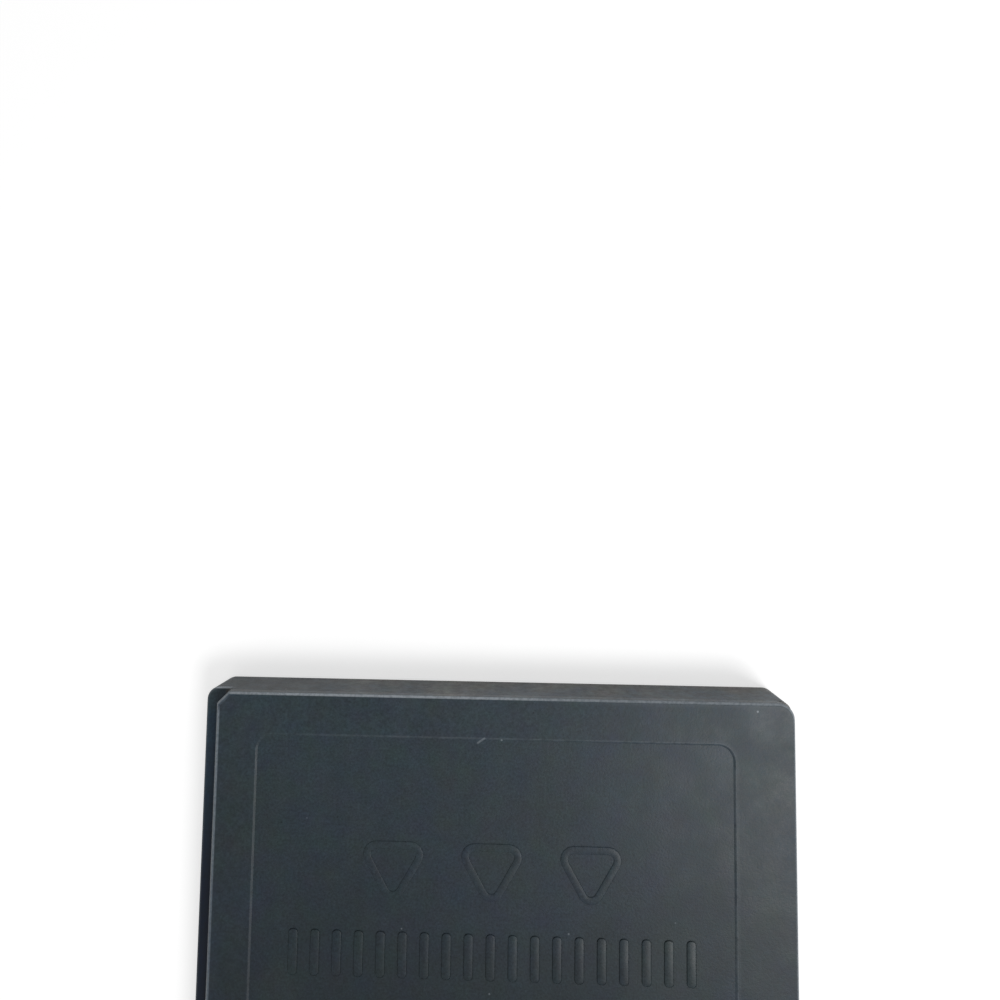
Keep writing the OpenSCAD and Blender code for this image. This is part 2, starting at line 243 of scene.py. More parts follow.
class BoardLook(bpy.types.PropertyGroup):
    mask: FloatVectorProperty(
        name="Solder mask", description="Colour of the solder mask over bare laminate",
        subtype="COLOR", size=3, min=0, max=1, default=(0.012, 0.10, 0.045))
    track: FloatVectorProperty(
        name="Masked track", description="Colour of the solder mask over a copper track",
        subtype="COLOR", size=3, min=0, max=1, default=(0.035, 0.20, 0.075))
    laminate: FloatVectorProperty(
        name="Laminate", description="Colour of the cut glass laminate", subtype="COLOR",
        size=3, min=0, max=1, default=(0.46, 0.40, 0.20))
    epoxy: FloatVectorProperty(
        name="Epoxy", description="Colour of a chip's moulding compound", subtype="COLOR",
        size=3, min=0, max=1, default=(0.02, 0.021, 0.023))
    tin: FloatVectorProperty(
        name="Tin", description="Colour of tinned leads and end caps", subtype="COLOR",
        size=3, min=0, max=1, default=(0.72, 0.73, 0.74))
    capacitor: FloatVectorProperty(
        name="Capacitor", description="Colour of a capacitor's ceramic", subtype="COLOR",
        size=3, min=0, max=1, default=(0.42, 0.28, 0.17))
    resistor: FloatVectorProperty(
        name="Resistor", description="Colour of a resistor's glaze", subtype="COLOR",
        size=3, min=0, max=1, default=(0.025, 0.027, 0.03))


class StudioLook(bpy.types.PropertyGroup):
    floor: FloatVectorProperty(
        name="Floor", description="Colour of the floor", subtype="COLOR",
        size=3, min=0, max=1, default=(0.62, 0.62, 0.62))
    floor_size: FloatProperty(
        name="Floor size", description="Side of the square floor", unit="LENGTH",
        subtype="DISTANCE", min=0, default=1.2)
    floor_lift: FloatProperty(
        name="Floor lift", description="Light added to the floor for the camera alone",
        min=0, max=1, default=0.56)
    sky: FloatProperty(
        name="Sky", description="Strength of the even light from all round", min=0, default=0.50)
    key_place: FloatVectorProperty(
        name="Key light place", description="Place of the key light", unit="LENGTH",
        subtype="TRANSLATION", size=3, default=(0.081, -0.039, 0.150))
    key_size: FloatProperty(
        name="Key light size", description="Side of the square key light", unit="LENGTH",
        subtype="DISTANCE", min=0, default=0.06)
    key_power: FloatProperty(
        name="Key light power", description="Power of the key light", unit="POWER",
        min=0, default=0.137)
    camera_place: FloatVectorProperty(
        name="Camera place", description="Place of the camera", unit="LENGTH",
        subtype="TRANSLATION", size=3, default=(1.468 * MM, 28.387 * MM, 44.601 * MM))
    camera_turn: FloatVectorProperty(
        name="Camera turn", description="Turn of the camera away from looking straight down",
        unit="ROTATION", subtype="EULER", size=3,
        default=(math.radians(3.996), math.radians(1.826), math.radians(0.619)))
    camera_lens: FloatProperty(
        name="Lens", description="Focal length in millimetres on a 36 mm sensor",
        min=1, default=26.0)
    camera_shift: FloatProperty(
        name="Shift", description="Upward shift of the lens as a share of the frame",
        default=-0.05)


class Link:
    """Wraps a socket of a node tree. Arithmetic on it adds Math nodes, and make adds any other."""

    def __init__(self, tree, socket=None):
        self.tree = tree
        self.socket = socket

    def make(self, kind, settings=None, sockets=None, output=0):
        """Adds a node of this kind, sets it, then gives its sockets their values or links."""
        node = self.tree.nodes.new(kind)
        for name, value in (settings or {}).items():
            setattr(node, name, value)
        for key, value in (sockets or {}).items():
            if isinstance(value, Link):
                self.tree.links.new(value.socket, node.inputs[key])
            else:
                node.inputs[key].default_value = value
        return Link(self.tree, node.outputs[output] if node.outputs else None)

    def maths(self, operation, *values):
        return self.make("ShaderNodeMath", {"operation": operation}, dict(enumerate(values)))

    def __add__(self, other):
        return self.maths("ADD", self, other)

    def __sub__(self, other):
        return self.maths("SUBTRACT", self, other)

    def __rsub__(self, other):
        return self.maths("SUBTRACT", other, self)

    def __mul__(self, other):
        return self.maths("MULTIPLY", self, other)

    def __truediv__(self, other):
        return self.maths("DIVIDE", self, other)

    def __pow__(self, other):
        return self.maths("POWER", self, other)

    def __abs__(self):
        return self.maths("ABSOLUTE", self)

    __radd__ = __add__
    __rmul__ = __mul__


def largest(a, b):
    return a.maths("MAXIMUM", a, b)


def smallest(a, b):
    return a.maths("MINIMUM", a, b)


def ease(value, start, end):
    """0 where value is at start, 1 at end, and smooth between. start may be above end."""
    return value.make("ShaderNodeMapRange", {"interpolation_type": "SMOOTHSTEP"},
                      {"Value": value, "From Min": start, "From Max": end})


def remap(value, low, high):
    """Spreads a value from 0 to 1 over low to high."""
    return value * (high - low) + low


def mixed(canvas, low, high, share, blend="MIX"):
    """Colour between low and high, each a colour or a link."""
    def full(colour):
        return colour if isinstance(colour, Link) else (*colour, 1)
    return canvas.make("ShaderNodeMix", {"data_type": "RGBA", "blend_type": blend},
                       {MIX_SHARE: share, MIX_LOW: full(low), MIX_HIGH: full(high)}, MIX_RESULT)


def noise(point, scale, detail=2.0, roughness=0.5, output=0):
    """Cloudy pattern with about scale features in a millimetre."""
    return point.make("ShaderNodeTexNoise", None,
                      {"Vector": point, "Scale": scale, "Detail": detail, "Roughness": roughness},
                      output)


def stretched(point, along):
    """The point with each axis divided by how far a pattern is drawn out along it."""
    shrink = tuple(1 / length for length in along)
    return point.make("ShaderNodeVectorMath", {"operation": "MULTIPLY"}, {0: point, 1: shrink})


def specks(point, scale, size, share):
    """Small round dots, about scale in a millimetre, of which only a share is kept."""
    cells = point.make("ShaderNodeTexVoronoi", None, {"Vector": point, "Scale": scale})
    tint = Link(point.tree, cells.socket.node.outputs["Color"])
    pick = tint.make("ShaderNodeSeparateColor", None, {0: tint})
    return ease(cells, size, size * 0.5) * ease(pick, 1 - share, 1 - share * 0.8)


def scratch(x, y, start, end, width):
    """1 along a fine straight scratch between two points, and 0 away from it."""
    run = (end[0] - start[0], end[1] - start[1])
    length = math.hypot(*run)
    across = (x - start[0]) * (run[1] / length) - (y - start[1]) * (run[0] / length)
    middle = ((start[0] + end[0]) / 2, (start[1] + end[1]) / 2)
    along = (x - middle[0]) * (run[0] / length) + (y - middle[1]) * (run[1] / length)
    return ease(abs(across), width, width / 4) * ease(abs(along), length / 2, length / 3)


def spot(x, y, middle, radius):
    """1 at a place on the back, and 0 beyond this radius."""
    a = x - middle[0]
    b = y - middle[1]
    return ease((a * a + b * b) ** 0.5, radius, radius * 0.4)


def from_lane(value, pitch):
    """Distance to the nearest of the lines that repeat at this pitch, one of them at 0."""
    turns = value / pitch + 0.5
    return abs(value.maths("FRACT", turns) - 0.5) * pitch


def card_point(canvas):
    """The point on the surface in millimetres of the card's frame."""
    place = canvas.make("ShaderNodeTexCoord", output="Object")
    return canvas.make("ShaderNodeVectorMath", {"operation": "SCALE"},
                       {0: place, "Scale": 1 / MM})


def by_axis(point):
    """The point's distance along X, Y and Z."""
    axes = point.make("ShaderNodeSeparateXYZ", None, {0: point}).socket.node.outputs
    return [Link(point.tree, axes[name]) for name in "XYZ"]


def facing(canvas, axis):
    """Part of the surface's direction along one axis, from -1 to 1."""
    normal = canvas.make("ShaderNodeNewGeometry", output="True Normal")
    axes = canvas.make("ShaderNodeSeparateXYZ", None, {0: normal}).socket.node.outputs
    return Link(canvas.tree, axes[axis])


def new_material(name):
    """An empty material, and a canvas to write its nodes on."""
    material = bpy.data.materials.new(name)
    material.use_nodes = True
    material.node_tree.nodes.clear()
    return material, Link(material.node_tree)


def finish_surface(canvas, colour, roughness, height=None, depth=0.0, metallic=0.0,
                   constants=None):
    """Ends a material in one shader, with a bump this deep in metres where it has a height."""
    sockets = {"Base Color": colour, "Roughness": roughness, "Metallic": metallic}
    sockets.update(constants or {})
    if height is not None:
        sockets["Normal"] = canvas.make("ShaderNodeBump", None,
                                        {"Strength": 1.0, "Distance": depth, "Height": height})
    shader = canvas.make("ShaderNodeBsdfPrincipled", None, sockets)
    canvas.make("ShaderNodeOutputMaterial", None, {"Surface": shader})


def in_from_corner(side, end, radius):
    """Depth inside two straight edges that meet in a rounded corner, up to its radius."""
    a = largest(radius - side, 0.0)
    b = largest(radius - end, 0.0)
    return radius - (a * a + b * b) ** 0.5


def in_from_rear_edge(x, y):
    """Depth inside the rear shell's outline, with its rounded and its cut corners."""
    end = HALF_L - abs(y)
    left = x - REAR_LEFT
    cut = (left + end - KEY_CUT) * math.sqrt(0.5)
    return smallest(in_from_corner(HALF_W - x, end, REAR_R), smallest(left, cut))


def in_from_front_edge(x, y):
    """Depth inside the front shell's outline, up to the radius of its corners."""
    return in_from_corner(HALF_W - abs(x), HALF_L - abs(y), FRONT_R)


def in_from_panel_edge(x, y):
    """Depth inside the panel's outline halfway down its slope, and below 0 outside it."""
    half = PANEL_HALF_W + PANEL_SLOPE / 2
    middle = (PANEL_TOP + PANEL_FOOT) / 2
    half_l = (PANEL_TOP - PANEL_FOOT + PANEL_SLOPE) / 2
    return in_from_corner(half - abs(x), half_l - abs(y - middle), PANEL_R)


def plastic(canvas, look, base, wear_and_highlight, polish):
    """Fine matte moulded plastic of this base colour, pale where its mask of rubbing and painted
    highlights is 1.
    """
    point = card_point(canvas)
    grain = noise(point, 7.5, 3, 0.7)
    mottle = noise(point, 2.6, 3, 0.6)
    streaks = noise(stretched(point, (1, 14, 14)), 1.6, 2)
    pits = specks(point, 1.3, 0.075, 0.25)
    shade = remap(grain, 0.30, 2.2) * remap(mottle, 0.78, 1.22) * remap(streaks, 0.92, 1.08)
    hue = noise(point, 0.7, 4, 0.6, output=1)
    hued = mixed(canvas, base, hue, 0.4, "MULTIPLY")
    dark = canvas.make("ShaderNodeVectorMath", {"operation": "SCALE"},
                       {0: hued, "Scale": shade * (1 - pits * 0.5)})
    # Pale where rubbed, and where edges carry painted highlights
    colour = mixed(canvas, dark, look.rubbed_and_highlight, wear_and_highlight)
    handled = ease(noise(point, 0.5, 3, 0.6), 0.35, 0.75)
    roughness = remap(handled, polish + 0.03, polish - 0.03) + (grain - 0.5) * 0.2
    finish_surface(canvas, colour, roughness, grain, 0.008 * MM,
                   constants={"Specular IOR Level": 0.3})


def tinted(canvas, look, point, y):
    """The back's colour: paler towards the grip end as painted light, with faint bluish and
    greenish clouds.
    """
    cloud = noise(point, 0.12, 3)
    drift = noise(stretched(point, (1, 1.6, 1)), 0.23, 3)
    # Painted light: the back grows paler towards the grip end
    share = ease(y + (cloud - 0.5) * 9, -3, 20)
    base = mixed(canvas, look.plastic, look.grip_plastic, share)
    blue = mixed(canvas, base, BLUE_CLOUD, ease(cloud, 0.48, 0.66) * 0.35)
    return mixed(canvas, blue, GREEN_CLOUD, ease(drift, 0.50, 0.66) * 0.35)


def soil_and_fill_light(canvas, look, point, x, z):
    """The walls' colour: the grip end's paler plastic with soil in blotches, darker towards the
    left and paler near the middle, and paler low down as painted light in the shade at the walls'
    foot.
    """
    # The (2 - z) term makes the walls paler low down: painted light in the shade at their foot
    blotch_and_fill = noise(point, 0.24, 5, 0.62) + (2 - z) * 0.055 + ease(abs(x + 2.2), 6, 1) * 0.10
    patch = ease(noise(point, 1.6, 5, 0.75), 0.38, 0.62)
    wall = mixed(canvas, look.grip_plastic, look.soil, ease(blotch_and_fill, 0.42, 0.68))
    wall = mixed(canvas, wall, look.plastic, ease(x, -8, -12) * 0.9)
    return canvas.make("ShaderNodeVectorMath", {"operation": "SCALE"},
                       {0: wall, "Scale": remap(patch, 0.5, 1.45)})


def rear_plastic(look):
    """The rear shell's plastic, rubbed pale along its outline and the panel's edge, where it also
    paints highlights on those edges.
    """
    material, canvas = new_material("Rear shell plastic")
    point = card_point(canvas)
    x, y, z = by_axis(point)
    along = noise(point, 1.3, 4, 0.6)
    beads = remap(ease(noise(point, 5, 4, 0.7), 0.38, 0.60), 0.72, 1.08)
    edge = in_from_rear_edge(x, y)
    above = ease(z, BACK_Z - BACK_BEVEL - 0.07, BACK_Z - BACK_BEVEL)
    at_end = ease(HALF_L - abs(y), 1.2, 0.6) * ease(x, REAR_LEFT - 0.05, REAR_LEFT + 0.15)
    at_cut = ease(x, REAR_LEFT + KEY_CUT + 0.25, REAR_LEFT + KEY_CUT - 0.05)
    # Pale lines along the back's outline: rubbed edges, also painting the highlight that the light
    # puts on the rounded edges
    thin = ease(edge, -0.01, 0.03) * ease(edge, 0.15, 0.09) * remap(ease(x, 8, -2), 0.6, 1.0)
    broad = ease(edge, 0.40, 0.04) * ease(x, 2, 9) * 0.075
    end_line = thin * remap(ease(x, -16, -9), 0.75, 1.0) * remap(at_cut, 1.0, 0.55) + broad
    left_line = ease(edge, 0.03, 0.10) * ease(edge, 0.25, 0.17) * ease(x, 0, -14)
    left_line = left_line * remap(ease(y, 4, 14), 0.25, 0.44)
    right_line = ease(edge, 0.18, 0.05) * ease(x, 0, 14) * 0.48
    side_line = (left_line + right_line) * (1 - at_end)
    cut_line = ease(edge, 0.27, 0.17) * at_cut * ease(HALF_L - abs(y), KEY_CUT + 0.1, KEY_CUT)
    outline = (end_line * at_end + side_line + cut_line * 0.14) * above * beads
    depth = in_from_panel_edge(x, y)
    # Pale line along the middle of the panel's slope, and glint just outside it at the right:
    # painted highlights where the light catches the slope and its outer edge
    fold = ease(abs(depth + PANEL_SLOPE / 2), 0.09, 0.03)
    fold = fold * (remap(ease(x, -13, -4), 0.024, 0.09) + ease(x, 5, 9) * 0.035)
    glint = ease(abs(depth + 0.16), 0.10, 0.03) * ease(x, 11, 13) * 0.025
    panel = fold * remap(ease(along, 0.38, 0.55), 0.5, 1.0) + glint
    panel = panel * ease(z, PANEL_Z - 0.1, PANEL_Z)
    nicks = scratch(x, y, *SCRATCH) * 0.28 + specks(point, 0.7, 0.05, 0.20) * 0.25
    for middle, radius, pale in SPOTS:
        nicks = nicks + spot(x, y, middle, radius) * pale
    wear_and_highlight = smallest(outline + panel + nicks * above, 1.0)
    wall = ease(facing(canvas, "Z"), 0.6, 0.35) * ease(edge, 0.3, 0.2)
    top = mixed(canvas, tinted(canvas, look, point, y), LEFT_EDGE,
                ease(edge, 0.24, 0.16) * ease(x, -14, -15) * 0.4)
    base = mixed(canvas, top, soil_and_fill_light(canvas, look, point, x, z), wall)
    plastic(canvas, look, base, wear_and_highlight, 0.42)
    return material


def front_plastic(look):
    """The front shell's plastic: walls with soil, paler low down as painted light; a ledge
    darkened as painted shade, with a pale patch of painted light in the corner under the cut; and
    outer edges rubbed pale, with painted highlights on them.
    """
    material, canvas = new_material("Front shell plastic")
    point = card_point(canvas)
    x, y, z = by_axis(point)
    along = noise(point, 1.3, 4, 0.6)
    level = facing(canvas, "Z")
    upward = ease(level, 0.7, 0.95)
    wall = soil_and_fill_light(canvas, look, point, x, z)
    # The ledge is darkened as painted shade from the rear shell's step, less towards the grip end
    ledge = mixed(canvas, look.shaded_ledge_plastic, SHADED_LEDGE_GRIP, ease(y, 6, 15.5))
    ledge = mixed(canvas, ledge, look.grip_plastic, ease(y, 15.8, 17.4))
    # Soil colour, then a pale patch, on the ledge in the corner under the cut: painted light that
    # lifts the shade falling there
    ledge = mixed(canvas, ledge, look.soil, ease(x, REAR_LEFT + 0.05, REAR_LEFT + 0.25))
    nook = ease(x, REAR_LEFT + 0.22, REAR_LEFT + 0.45) * ease(HALF_L - abs(y), 0.40, 0.25)
    ledge = mixed(canvas, ledge, NOOK_PAINTED_LIGHT, nook)
    base = mixed(canvas, wall, ledge, upward)
    base = mixed(canvas, base, tinted(canvas, look, point, y), ease(level, -0.7, -0.95))
    # Pale lines on the ledge's outer edge (rim) and on its end edge at the grip end (step): rubbed
    # edges, also painting the highlight that the light puts on them
    near_step = ease(x, REAR_LEFT + 0.6, REAR_LEFT)
    rim = ease(in_from_front_edge(x, y), 0.16, 0.02) * ease(abs(z - LEDGE_Z), 0.2, 0.08)
    rim = rim * near_step * remap(ease(along, 0.38, 0.55), 0.7, 1.0)
    step = ease(HALF_L - y, 0.10, 0.05) * ease(abs(z - LEDGE_Z), 0.10, 0.04)
    step = step * ease(x, REAR_LEFT + 0.85, REAR_LEFT + 0.25)
    dust = specks(point, 1.1, 0.08, 0.4) * 0.25 * (1 - abs(level))
    wear_and_highlight = smallest(rim * 0.2 + step * 0.8 + dust, 1.0)
    plastic(canvas, look, base, wear_and_highlight, 0.5)
    return material


def gold_plating(look):
    """Satin gold with fine wipe marks along each contact, where the slot's pins rub."""
    material, canvas = new_material("Gold plating")
    point = card_point(canvas)
    y = by_axis(point)[1]
    brushed = noise(stretched(point, (1, 14, 1)), 11, 3, 0.6)
    lengthwise = noise(stretched(point, (1, 40, 1)), 5, 2)
    wiped = ease(abs(y + 12.6), 2.2, 1.2) * ease(lengthwise, 0.50, 0.62)
    stain = ease(noise(point, 0.9, 3, 0.6), 0.5, 0.75)
    colour = mixed(canvas, look.gold, GOLD_STAIN, stain * 0.5)
    colour = mixed(canvas, colour, GOLD_WIPED, wiped * 0.7)
    roughness = remap(brushed, 0.22, 0.42) - wiped * 0.08 + stain * 0.1
    finish_surface(canvas, colour, roughness, brushed, 0.002 * MM, metallic=1.0)
    return material


def solder_mask(look):
    """Green mask over copper tracks, with the bare laminate at the board's cut edges."""
    material, canvas = new_material("Solder mask")
    point = card_point(canvas)
    x, y = by_axis(point)[:2]
    straight = ease(from_lane(x, contact_pitch() / MM), 0.16, 0.11) * ease(y, 3.0, 2.0)
    slanting = ease(from_lane(x + y, 0.9), 0.14, 0.09) * ease(y, 2.0, 3.0)
    upper = slanting * ease(noise(point, 0.22, 1), 0.47, 0.5)
    track = largest(straight, upper)
    weave = noise(stretched(point, (1, 3, 1)), 4, 2)
    flat = ease(abs(facing(canvas, "Z")), 0.5, 0.8)
    mask = mixed(canvas, look.mask, look.track, track * remap(weave, 0.7, 1.0))
    layers = ease(noise(stretched(point, (4, 4, 0.4)), 3, 3), 0.4, 0.65)
    cut = mixed(canvas, look.laminate, DARK_LAYER, layers)
    colour = mixed(canvas, cut, mask, flat)
    roughness = remap(noise(point, 1.2, 3), 0.22, 0.38) + (1 - flat) * 0.35
    finish_surface(canvas, colour, roughness, track + weave * 0.15, 0.02 * MM)
    return material


def chip_epoxy(look):
    """Moulding compound with the fine blasted grain of a chip's package."""
    material, canvas = new_material("Chip epoxy")
    point = card_point(canvas)
    grain = noise(point, 14, 3, 0.7)
    cloud = noise(point, 0.5, 3)
    colour = mixed(canvas, look.epoxy, EPOXY_GRAIN, grain * 0.5 + cloud * 0.2)
    finish_surface(canvas, colour, remap(grain, 0.5, 0.8), grain, 0.006 * MM)
    return material


def tin_plating(look):
    """Satin tin with dull spots."""
    material, canvas = new_material("Tin plating")
    point = card_point(canvas)
    dull = noise(point, 2.2, 4, 0.6)
    colour = mixed(canvas, look.tin, DULL_TIN, ease(dull, 0.45, 0.75))
    finish_surface(canvas, colour, remap(dull, 0.2, 0.5), noise(point, 9, 2), 0.003 * MM,
                   metallic=1.0)
    return material


def chip_component(name, node, body_colour, look, glaze):
    """A ceramic body between two tinned end caps, told apart by the place along X."""
    material, canvas = new_material(name)
    point = card_point(canvas)
    x = by_axis(point)[0]
    low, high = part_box(node)
    middle = (low.x + high.x) / 2 / MM
    half = (high.x - low.x) / 2 / MM
    along = abs(x - middle)
    ragged = noise(point, 6, 2) * 0.05
    cap = ease(along + ragged, half - 0.30, half - 0.26)
    speckle = noise(point, 12, 3, 0.7)
    pale = tuple(min(1.0, part * 1.5) for part in body_colour)
    ceramic = mixed(canvas, body_colour, pale, speckle)
    tin = mixed(canvas, look.tin, DULL_CAP, ease(noise(point, 4, 3), 0.4, 0.7))
    colour = mixed(canvas, ceramic, tin, cap)
    roughness = remap(speckle, glaze, glaze + 0.2) * (1 - cap) + cap * 0.34
    finish_surface(canvas, colour, roughness, speckle, 0.003 * MM, metallic=cap)
    return material


def floor_paint(look):
    """Matt pale floor, a little lighter to the camera and to mirrors than to the card."""
    material, canvas = new_material("Studio floor")
    point = card_point(canvas)
    grain = noise(point, 0.4, 2)
    colour = mixed(canvas, tuple(part * 0.985 for part in look.floor), look.floor, grain)
    rays = canvas.make("ShaderNodeLightPath").socket.node.outputs
    seen = Link(canvas.tree, rays["Is Camera Ray"]) + Link(canvas.tree, rays["Is Glossy Ray"])
    seen = smallest(seen + Link(canvas.tree, rays["Is Transmission Ray"]), 1.0)
    glow = mixed(canvas, (0, 0, 0), (look.floor_lift,) * 3, seen)
    finish_surface(canvas, colour, 0.9, constants={"Emission Color": glow,
                                                   "Emission Strength": 1.0,
                                                   "Specular IOR Level": 0.1})
    return material


def add_object(name, data):
    made = bpy.data.objects.new(name, data)
    bpy.context.scene.collection.objects.link(made)
    return made


def finished(piece):
    """Turns a piece and its modifiers into one plain mesh."""
    graph = bpy.context.evaluated_depsgraph_get()
    mesh = bpy.data.meshes.new_from_object(piece.evaluated_get(graph),
                                           preserve_all_data_layers=True, depsgraph=graph)
    piece.modifiers.clear()
    piece.data = mesh
    mesh.name = piece.name
    return piece


def round_edges(piece, radius, steps, by_weight=False):
    """Rounds the sharp edges, each by its share of the radius where they have one."""
    bevel = piece.modifiers.new("Rounded edges", "BEVEL")
    bevel.width = radius
    bevel.segments = steps
    bevel.limit_method = "WEIGHT" if by_weight else "ANGLE"
    bevel.angle_limit = EDGE_ANGLE
    bevel.use_clamp_overlap = False
    bevel.miter_outer = "MITER_ARC"
    shading = piece.modifiers.new("Even shading", "WEIGHTED_NORMAL")
    shading.keep_sharp = True


def front_radius(middle, look):
    """Radius of the front shell's edge at this place, in metres."""
    side = HALF_W - abs(middle.x)
    end = HALF_L - abs(middle.y)
    outside = min(side, end) < OUTER_BAND
    if abs(middle.z - SEAM_Z) < LEVEL_WITH and outside:
        return look.seam_round
    inset = FRONT_R - math.hypot(max(FRONT_R - side, 0), max(FRONT_R - end, 0))
    on_ledge = abs(middle.z - LEDGE_Z) < LEVEL_WITH and middle.x < REAR_LEFT + KEY_CUT
    if on_ledge and inset < RIM_BAND:
        share = max(0, 1 - side / FRONT_R)
        return look.edge_round + (look.hand_round - look.edge_round) * share
    if middle.z < FOOT_BEVEL + LEVEL_WITH and outside:
        return look.foot_round
    return look.edge_round


def rear_radius(middle, look):
    """Radius of the rear shell's edge at this place, in metres."""
    inset = min(HALF_W - middle.x, middle.x - REAR_LEFT, HALF_L - abs(middle.y))
    if abs(middle.z - SEAM_Z) < LEVEL_WITH and inset < OUTER_BAND:
        return look.seam_round
    return look.edge_round


def shell_piece(name, node, material, look, radius_at):
    """A shell with its moulded edges rounded, made from the frame's own solid."""
    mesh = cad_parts[node].data.copy()
    shape = bmesh.new()
    shape.from_mesh(mesh)
    bmesh.ops.remove_doubles(shape, verts=shape.verts, dist=WELD)
    bmesh.ops.dissolve_limit(shape, angle_limit=FLAT_ANGLE, use_dissolve_boundaries=False,
                             verts=shape.verts, edges=shape.edges)
    share = shape.edges.layers.float.new("bevel_weight_edge")
    for edge in shape.edges:
        if edge.calc_face_angle(0.0) > EDGE_ANGLE:
            middle = (edge.verts[0].co + edge.verts[1].co) / 2 / MM
            edge[share] = radius_at(middle, look) / look.hand_round
    shape.to_mesh(mesh)
    shape.free()
    mesh.shade_smooth()
    mesh.materials.clear()
    mesh.materials.append(material)
    piece = add_object(name, mesh)
    round_edges(piece, look.hand_round, look.edge_steps, by_weight=True)
    finished(piece)
    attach(piece, BODY)
    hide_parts(node)


def add_inputs(tree, sizes):
    """Gives a Geometry Nodes tree its named inputs and its output, and links to the inputs."""
    for name, kind in sizes.items():
        tree.interface.new_socket(name, in_out="INPUT", socket_type="NodeSocket" + kind)
    tree.interface.new_socket("Geometry", in_out="OUTPUT", socket_type="NodeSocketGeometry")
    entry = tree.nodes.new("NodeGroupInput")
    return {name: Link(tree, entry.outputs[name]) for name in sizes}


def stand_in_row(canvas, shape, sizes):
    """Copies a shape along X about a middle, and ends the tree with its finish."""
    half = (sizes["Count"] - 1) * sizes["Pitch"] * -0.5
    back = canvas.make("ShaderNodeCombineXYZ", None, {"X": half})
    start = canvas.make("ShaderNodeVectorMath", {"operation": "ADD"},
                        {0: sizes["Middle"], 1: back})
    step = canvas.make("ShaderNodeCombineXYZ", None, {"X": sizes["Pitch"]})
    line = canvas.make("GeometryNodeMeshLine", {"mode": "OFFSET"},
                       {"Count": sizes["Count"], "Start Location": start, "Offset": step})
    row = canvas.make("GeometryNodeInstanceOnPoints", None, {"Points": line, "Instance": shape})
    real = canvas.make("GeometryNodeRealizeInstances", None, {"Geometry": row})
    painted = canvas.make("GeometryNodeSetMaterial", None,
                          {"Geometry": real, "Material": sizes["Finish"]})
    canvas.make("NodeGroupOutput", None, {"Geometry": painted})


def pad_row_tree():
    """Row of flat pads with rounded corners."""
    tree = bpy.data.node_groups.new("Row of pads", "GeometryNodeTree")
    sizes = add_inputs(tree, {"Count": "Int", "Pitch": "Float", "Width": "Float",
                              "Length": "Float", "Thickness": "Float", "Corner radius": "Float",
                              "Middle": "Vector", "Finish": "Material"})
    canvas = Link(tree)
    outline = canvas.make("GeometryNodeCurvePrimitiveQuadrilateral", None,
                          {"Width": sizes["Width"], "Height": sizes["Length"]})
    rounded = canvas.make("GeometryNodeFilletCurve", {"mode": "POLY"},
                          {"Curve": outline, "Count": 4, "Radius": sizes["Corner radius"]})
    sheet = canvas.make("GeometryNodeFillCurve", {"mode": "NGONS"}, {"Curve": rounded})
    raised = canvas.make("GeometryNodeExtrudeMesh", {"mode": "FACES"},
                         {"Mesh": sheet, "Offset Scale": sizes["Thickness"],
                          "Individual": False})
    under = canvas.make("GeometryNodeFlipFaces", None, {"Mesh": sheet})
    both = canvas.make("GeometryNodeJoinGeometry", None, {"Geometry": raised})
    tree.links.new(under.socket, both.socket.node.inputs["Geometry"])
    pad = canvas.make("GeometryNodeMergeByDistance", None,
                      {"Geometry": both, "Distance": WELD})
    stand_in_row(canvas, pad, sizes)
    return tree


def arrow_row_tree():
    """Row of three-cornered outlines that point towards the contacts."""
    tree = bpy.data.node_groups.new("Row of arrows", "GeometryNodeTree")
    sizes = add_inputs(tree, {"Count": "Int", "Pitch": "Float", "Size": "Float", "Line": "Float",
                              "Relief": "Float", "Corner radius": "Float", "Middle": "Vector",
                              "Finish": "Material"})
    canvas = Link(tree)
    triangle = canvas.make("GeometryNodeCurvePrimitiveCircle", {"mode": "RADIUS"},
                           {"Resolution": 3, "Radius": sizes["Size"]})
    pointed = canvas.make("GeometryNodeTransform", None,
                          {"Geometry": triangle, "Rotation": Euler((0, 0, -math.pi / 2))})
    rounded = canvas.make("GeometryNodeFilletCurve", {"mode": "POLY"},
                          {"Curve": pointed, "Count": 5, "Radius": sizes["Corner radius"]})
    upright = canvas.make("GeometryNodeSetCurveNormal", {"mode": "Z_UP"}, {"Curve": rounded})
    section = canvas.make("GeometryNodeCurvePrimitiveQuadrilateral", None,
                          {"Width": sizes["Line"], "Height": sizes["Relief"] * 2})
    ridge = canvas.make("GeometryNodeCurveToMesh", None,
                        {"Curve": upright, "Profile Curve": section})
    stand_in_row(canvas, ridge, sizes)
    return tree


def grow(name, tree, values):
    """A new piece that a Geometry Nodes tree makes from these values."""
    piece = add_object(name, bpy.data.meshes.new(name))
    modifier = piece.modifiers.new("Grow", "NODES")
    modifier.node_group = tree
    for item in tree.interface.items_tree:
        if item.in_out == "INPUT":
            modifier[item.identifier] = values[item.name]
    return piece


def contact_pitch():
    """Distance from one contact to the next, in metres."""
    reach = [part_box(name)[0].x for name in CONTACTS]
    return (max(reach) - min(reach)) / (len(CONTACTS) - 1)


class CARD_OT_shells(bpy.types.Operator):
    """Round the edges of the two shells and give them rubbed plastic with painted light and shade
    """
    bl_idname = "card.shells"
    bl_label = "Shells"

    def execute(self, context):
        look = context.scene.card_shell
        shell_piece("rear_cover", "rear_shell", rear_plastic(look), look, rear_radius)
        shell_piece("front_cover", "front_shell", front_plastic(look), look, front_radius)
        return {"FINISHED"}


